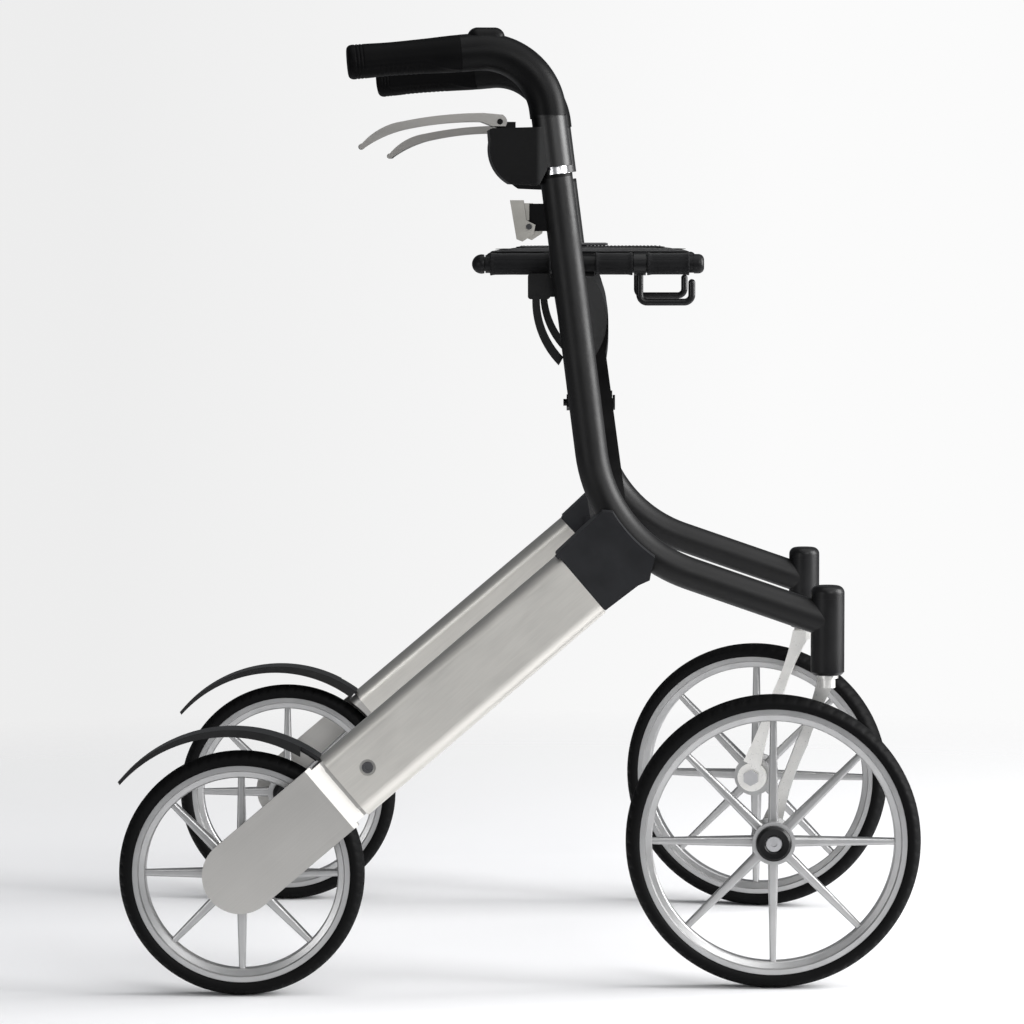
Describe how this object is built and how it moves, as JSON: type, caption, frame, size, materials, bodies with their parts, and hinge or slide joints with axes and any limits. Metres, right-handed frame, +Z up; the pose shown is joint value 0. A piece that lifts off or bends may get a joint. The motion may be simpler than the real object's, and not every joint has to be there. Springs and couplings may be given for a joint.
{
  "type": "rollator walker",
  "caption": "Cross-folding rollator walker with swivelling front wheels, braked rear wheels, fabric seat on rails and height-adjustable handles.",
  "frame": {"origin": "on the floor, under the middle of the overall length and width, with the frame open", "axes": "+X forward in the direction of travel, +Y to the user's left, +Z up"},
  "size_m": [0.7029, 0.569, 0.8435],
  "materials": {
    "black_tube": "satin black anodised",
    "block_grey": "satin dark grey casting",
    "beam_alloy": "bead-blasted pale champagne anodised",
    "plate_alloy": "brushed grey",
    "fastener_steel": "zinc plated",
    "guard_plastic": "moulded satin black",
    "head_alloy": "satin black anodised",
    "collar_plastic": "moulded black",
    "paddle_plastic": "light grey moulded",
    "shoe_rubber": "matte",
    "tyre": "soft matte black",
    "wheel_alloy": "silver lacquer",
    "bearing_steel": "ground",
    "cap_plastic": "satin black",
    "fork_alloy": "polished silver",
    "height_alloy": "drawn silver anodised",
    "elbow_plastic": "semi-gloss dark grey moulding",
    "grip_rubber": "soft-touch black",
    "lever_alloy": "bead-blasted silver",
    "rail_black": "satin black",
    "hook_wire": "black coated",
    "seat_fabric": "woven black polyester",
    "strap_webbing": "woven black webbing"
  },
  "bodies": {
    "right_frame": {"right_main_tube": "black_tube", "right_joint_block": "block_grey", "right_rear_beam": "beam_alloy", "right_rear_fork": "plate_alloy", "right_rear_axle": "fastener_steel", "right_mudguard": "guard_plastic", "right_head_tube": "head_alloy", "right_clamp_collar": "collar_plastic", "right_frame_pins": "fastener_steel"},
    "left_frame": {"left_main_tube": "black_tube", "left_joint_block": "block_grey", "left_rear_beam": "beam_alloy", "left_rear_fork": "plate_alloy", "left_rear_axle": "fastener_steel", "left_mudguard": "guard_plastic", "left_head_tube": "head_alloy", "left_clamp_collar": "collar_plastic", "left_frame_pins": "fastener_steel"},
    "right_brace": {"right_brace_arm": "black_tube", "brace_centre_bolt": "fastener_steel", "left_seat_rail": "rail_black", "left_bag_hook": "hook_wire"},
    "left_brace": {"left_brace_arm": "black_tube", "right_seat_rail": "rail_black", "right_bag_hook": "hook_wire"},
    "left_seat": {"left_seat_half": "seat_fabric"},
    "right_seat": {"right_seat_half": "seat_fabric", "seat_strap": "strap_webbing"},
    "left_caster": {"left_caster_fork": "fork_alloy", "left_front_axle": "fastener_steel"},
    "left_front_wheel": {"left_front_tyre": "tyre", "left_front_rim": "wheel_alloy", "left_front_bearings": "bearing_steel", "left_front_hub_cap": "cap_plastic"},
    "left_rear_wheel": {"left_rear_tyre": "tyre", "left_rear_rim": "wheel_alloy", "left_rear_bearings": "bearing_steel", "left_rear_hub_cap": "cap_plastic"},
    "left_handle": {"left_handle_tube": "height_alloy", "left_handle_elbow": "elbow_plastic", "left_grip": "grip_rubber"},
    "left_lever": {"left_brake_lever": "lever_alloy"},
    "left_clamp": {"left_clamp_lever": "paddle_plastic"},
    "left_shoe": {"left_brake_shoe": "shoe_rubber"},
    "right_caster": {"right_caster_fork": "fork_alloy", "right_front_axle": "fastener_steel"},
    "right_front_wheel": {"right_front_tyre": "tyre", "right_front_rim": "wheel_alloy", "right_front_bearings": "bearing_steel", "right_front_hub_cap": "cap_plastic"},
    "right_rear_wheel": {"right_rear_tyre": "tyre", "right_rear_rim": "wheel_alloy", "right_rear_bearings": "bearing_steel", "right_rear_hub_cap": "cap_plastic"},
    "right_handle": {"right_handle_tube": "height_alloy", "right_handle_elbow": "elbow_plastic", "right_grip": "grip_rubber"},
    "right_lever": {"right_brake_lever": "lever_alloy"},
    "right_clamp": {"right_clamp_lever": "paddle_plastic"},
    "right_shoe": {"right_brake_shoe": "shoe_rubber"}
  },
  "joints": [
    {"name": "fold", "type": "hinge", "parent": "right_frame", "child": "right_brace", "pos_m": [0.0607, -0.19, 0.372], "axis": [1, 0, 0], "range_deg": [0, 44.4]},
    {"name": "brace_cross", "type": "hinge", "parent": "right_brace", "child": "left_brace", "pos_m": [0.0607, 0, 0.50766], "axis": [1, 0, 0], "range_deg": [-89.3, 0.5]},
    {"name": "left_frame_pivot", "type": "hinge", "parent": "left_brace", "child": "left_frame", "pos_m": [0.0607, 0.19, 0.372], "axis": [1, 0, 0], "range_deg": [-0.5, 44.9]},
    {"name": "left_seat_fold", "type": "hinge", "parent": "right_brace", "child": "left_seat", "pos_m": [0.0607, 0.182, 0.6376], "axis": [1, 0, 0], "range_deg": [-122.6, 0.5]},
    {"name": "right_seat_fold", "type": "hinge", "parent": "left_brace", "child": "right_seat", "pos_m": [0.0607, -0.182, 0.6376], "axis": [1, 0, 0], "range_deg": [-0.5, 122.6]},
    {"name": "left_swivel", "type": "hinge", "parent": "left_frame", "child": "left_caster", "pos_m": [0.2682, 0.2197, 0.3], "axis": [0, 0, 1], "continuous": true},
    {"name": "left_front_roll", "type": "hinge", "parent": "left_caster", "child": "left_front_wheel", "pos_m": [0.22199, 0.22978, 0.13], "axis": [0.213, 0.977, 0], "continuous": true},
    {"name": "left_rear_roll", "type": "hinge", "parent": "left_frame", "child": "left_rear_wheel", "pos_m": [-0.2445, 0.262, 0.1075], "axis": [0, 1, 0], "continuous": true},
    {"name": "left_height", "type": "slide", "parent": "left_frame", "child": "left_handle", "axis": [-0.1258, 0, 0.9921], "range_m": [0, 0.15]},
    {"name": "left_brake", "type": "hinge", "parent": "left_handle", "child": "left_lever", "pos_m": [-0.01921, 0.22506, 0.76154], "axis": [0.1157, 0.9932, 0.0147], "range_deg": [0, 13], "stiffness_Nm_per_rad": 0.6, "springref_deg": -5.73},
    {"name": "left_shoe_press", "type": "slide", "parent": "left_frame", "child": "left_shoe", "axis": [-0.7615, 0, -0.6481], "range_m": [-0.0002, 0.0033]},
    {"name": "left_clamp_turn", "type": "hinge", "parent": "left_frame", "child": "left_clamp", "pos_m": [0.0067, 0.22, 0.6705], "axis": [0, -1, 0], "range_deg": [0, 90]},
    {"name": "right_swivel", "type": "hinge", "parent": "right_frame", "child": "right_caster", "pos_m": [0.2682, -0.2197, 0.3], "axis": [0, 0, 1], "continuous": true},
    {"name": "right_front_roll", "type": "hinge", "parent": "right_caster", "child": "right_front_wheel", "pos_m": [0.2209, -0.2197, 0.13], "axis": [0, 1, 0], "continuous": true},
    {"name": "right_rear_roll", "type": "hinge", "parent": "right_frame", "child": "right_rear_wheel", "pos_m": [-0.2445, -0.262, 0.1075], "axis": [0, 1, 0], "continuous": true},
    {"name": "right_height", "type": "slide", "parent": "right_frame", "child": "right_handle", "axis": [-0.1258, 0, 0.9921], "range_m": [0, 0.15]},
    {"name": "right_brake", "type": "hinge", "parent": "right_handle", "child": "right_lever", "pos_m": [-0.01921, -0.22506, 0.76154], "axis": [-0.1157, 0.9932, -0.0147], "range_deg": [0, 13], "stiffness_Nm_per_rad": 0.6, "springref_deg": -5.73},
    {"name": "right_shoe_press", "type": "slide", "parent": "right_frame", "child": "right_shoe", "axis": [-0.7615, 0, -0.6481], "range_m": [-0.0002, 0.0033]},
    {"name": "right_clamp_turn", "type": "hinge", "parent": "right_frame", "child": "right_clamp", "pos_m": [0.0067, -0.22, 0.6705], "axis": [0, -1, 0], "range_deg": [0, 90]}
  ],
  "couplings": [
    {"joint": "brace_cross", "follows": "fold", "ratio": -2},
    {"joint": "left_frame_pivot", "follows": "fold", "ratio": 1},
    {"joint": "left_seat_fold", "follows": "fold", "ratio": -2.747},
    {"joint": "right_seat_fold", "follows": "fold", "ratio": 2.747},
    {"joint": "left_shoe_press", "follows": "left_brake", "m_per_rad": 0.01322},
    {"joint": "right_shoe_press", "follows": "right_brake", "m_per_rad": 0.01322}
  ]
}
